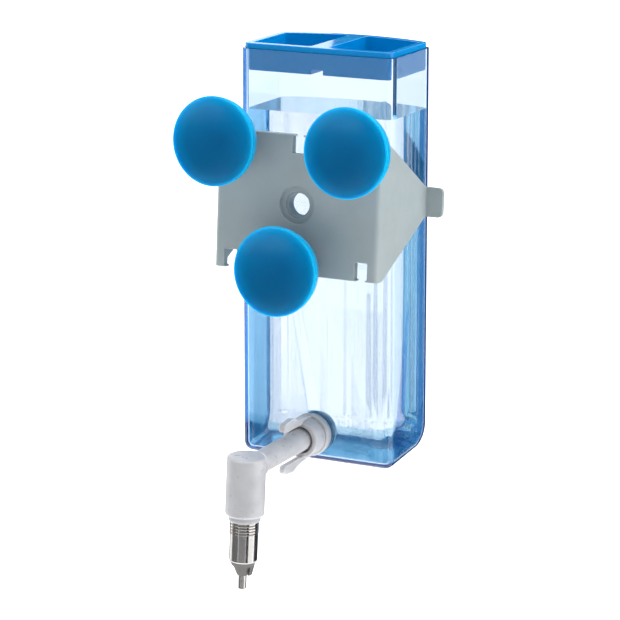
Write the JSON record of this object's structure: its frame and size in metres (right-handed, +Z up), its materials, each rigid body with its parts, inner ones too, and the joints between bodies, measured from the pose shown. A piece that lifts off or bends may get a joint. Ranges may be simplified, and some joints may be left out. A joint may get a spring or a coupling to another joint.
{
  "type": "hanging small-animal water bottle",
  "caption": "Clear upright water tank hung in a suction-cup bracket, with a lift-off lid, an elbow outlet held by a wing nut and a steel push-pin nipple.",
  "frame": {"origin": "axis of the bracket's bolt hole, at the step inside the plate where a washer sits", "axes": "+Z up along the plate, -Y out of the bolt hole towards the cage or glass, +X to the right seen from there"},
  "size_m": [0.1112, 0.1316, 0.2543],
  "materials": {
    "grey_green_plastic": "satin",
    "blue_rubber": "satin",
    "clear_tank_plastic": "clear, glossy",
    "blue_lid_plastic": "glossy",
    "white_translucent_plastic": "satin",
    "stainless_steel": "turned, bright",
    "dark_rubber": "matte"
  },
  "bodies": {
    "bracket": {"bracket": "grey_green_plastic"},
    "tank": {"tank": "clear_tank_plastic", "inner_gasket": "white_translucent_plastic", "outlet_tube": "white_translucent_plastic", "swivel_ring": "dark_rubber", "outer_washer": "white_translucent_plastic"},
    "lid": {"lid": "blue_lid_plastic"},
    "wing_nut": {"wing_nut": "white_translucent_plastic"},
    "head": {"elbow_head": "white_translucent_plastic", "nipple_body": "stainless_steel", "nipple_washer": "dark_rubber", "pin_seal": "dark_rubber", "spring_cap": "white_translucent_plastic", "pin_spring": "stainless_steel"},
    "pin": {"trigger_pin": "stainless_steel"},
    "cup_upper_left": {"suction_cup_upper_left": "blue_rubber"},
    "cup_upper_right": {"suction_cup_upper_right": "blue_rubber"},
    "cup_lower": {"suction_cup_lower": "blue_rubber"}
  },
  "joints": [
    {"name": "tank_swing", "type": "hinge", "parent": "bracket", "child": "tank", "pos_m": [0, 0.0444, 0], "axis": [1, 0, 0], "range_deg": [-20, 12]},
    {"name": "lid_lift", "type": "slide", "parent": "tank", "child": "lid", "axis": [0, -0.0776, 0.997], "range_m": [0, 0.03]},
    {"name": "nut_turn", "type": "hinge", "parent": "tank", "child": "wing_nut", "pos_m": [0, 0.02552, -0.11386], "axis": [0, -0.997, -0.0776], "continuous": true},
    {"name": "head_swivel", "type": "hinge", "parent": "tank", "child": "head", "pos_m": [0, -0.04527, -0.11937], "axis": [0, -0.997, -0.0776], "range_deg": [-90, 90]},
    {"name": "pin_push", "type": "slide", "parent": "head", "child": "pin", "axis": [0.0454, -0.0775, 0.996], "range_m": [0, 0.002], "stiffness_N_per_m": 250, "springref_m": -0.002, "deforming": ["pin_spring"]},
    {"name": "cup_turn_upper_left", "type": "hinge", "parent": "bracket", "child": "cup_upper_left", "pos_m": [-0.0344, -0.0026, 0.0291], "axis": [0, -1, 0], "continuous": true},
    {"name": "cup_turn_upper_right", "type": "hinge", "parent": "bracket", "child": "cup_upper_right", "pos_m": [0.0344, -0.0026, 0.0291], "axis": [0, -1, 0], "continuous": true},
    {"name": "cup_turn_lower", "type": "hinge", "parent": "bracket", "child": "cup_lower", "pos_m": [0, -0.0026, -0.0291], "axis": [0, -1, 0], "continuous": true}
  ]
}
